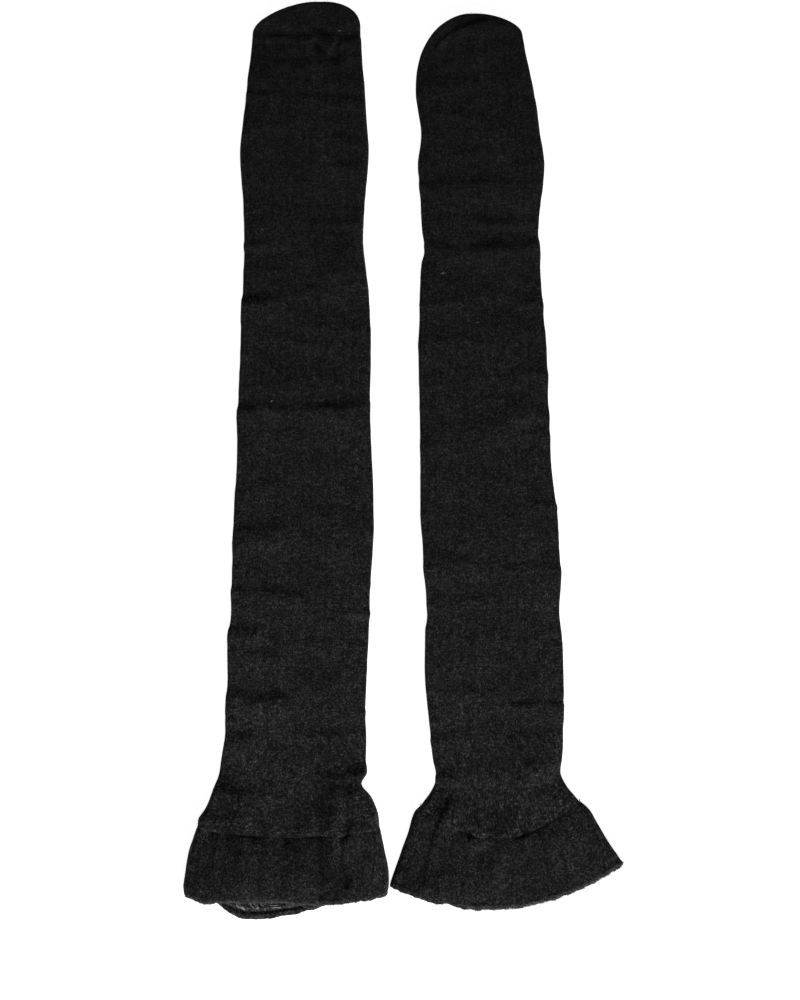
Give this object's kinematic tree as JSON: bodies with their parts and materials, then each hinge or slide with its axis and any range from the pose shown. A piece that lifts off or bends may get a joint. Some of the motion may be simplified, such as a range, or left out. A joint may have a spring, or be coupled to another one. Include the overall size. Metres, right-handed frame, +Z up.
{
  "type": "pair of knee-high socks",
  "caption": "Pair of charcoal knee-high knitted socks laid flat side by side, closed toes away, flared turned cuffs open.",
  "frame": {"origin": "on the surface the socks lie on, in the middle of the pair's outline seen from above", "axes": "+X across the pair from the left sock to the right one, +Y along the socks from the cuffs to the toes, +Z up from the surface"},
  "size_m": [0.3126, 0.6505, 0.014],
  "materials": {
    "leg_knit": "matte melange wool knit with a short nap",
    "cuff_knit": "matte melange wool knit, doubled at a turned hem"
  },
  "bodies": {
    "root": {"leg_left": "leg_knit", "cuff_left": "cuff_knit", "leg_right": "leg_knit", "cuff_right": "cuff_knit"}
  },
  "joints": []
}
